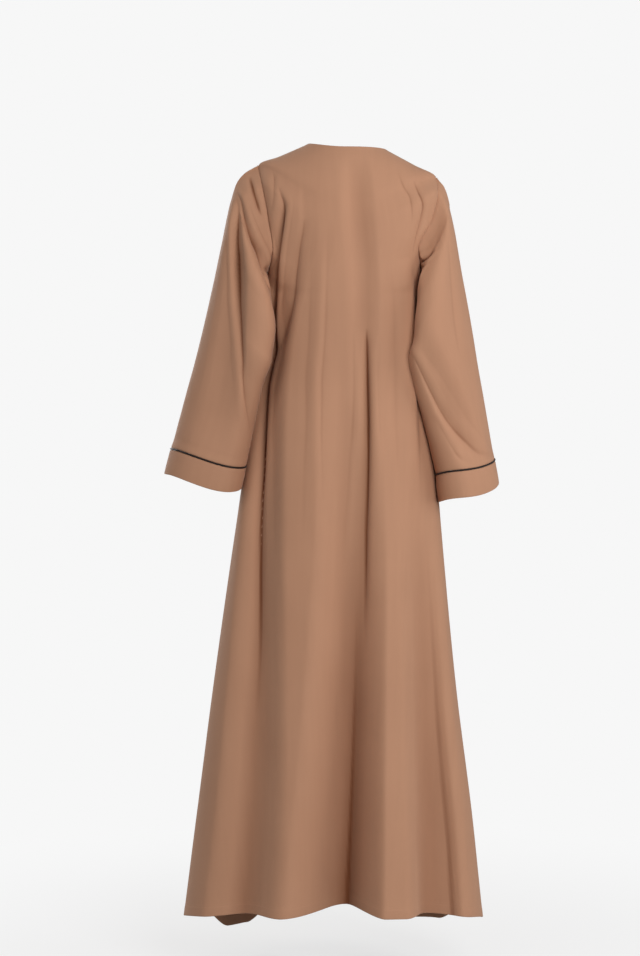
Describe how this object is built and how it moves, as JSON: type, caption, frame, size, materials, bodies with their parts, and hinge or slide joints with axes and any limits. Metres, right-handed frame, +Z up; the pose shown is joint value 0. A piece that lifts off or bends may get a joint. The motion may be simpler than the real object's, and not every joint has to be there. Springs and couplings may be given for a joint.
{
  "type": "abaya cloak",
  "caption": "Long open-front abaya cloak in plain tan crepe, flared to a full-length hem, with wide set-in sleeves and piped cuffs, filled out as worn.",
  "frame": {"origin": "the middle of the neck opening, level with the points where the shoulder seams meet the neckline", "axes": "+Z up along the worn garment, -Y the wearer's front, +X the wearer's left"},
  "size_m": [0.658, 0.3992, 1.555],
  "materials": {
    "tan_crepe": "matte",
    "dark_piping": "satin"
  },
  "bodies": {
    "root": {"back": "tan_crepe", "front_left": "tan_crepe", "front_right": "tan_crepe", "sleeve_left": "tan_crepe", "sleeve_right": "tan_crepe", "cuff_left": "tan_crepe", "cuff_right": "tan_crepe", "piping_left": "dark_piping", "piping_right": "dark_piping"}
  },
  "joints": []
}
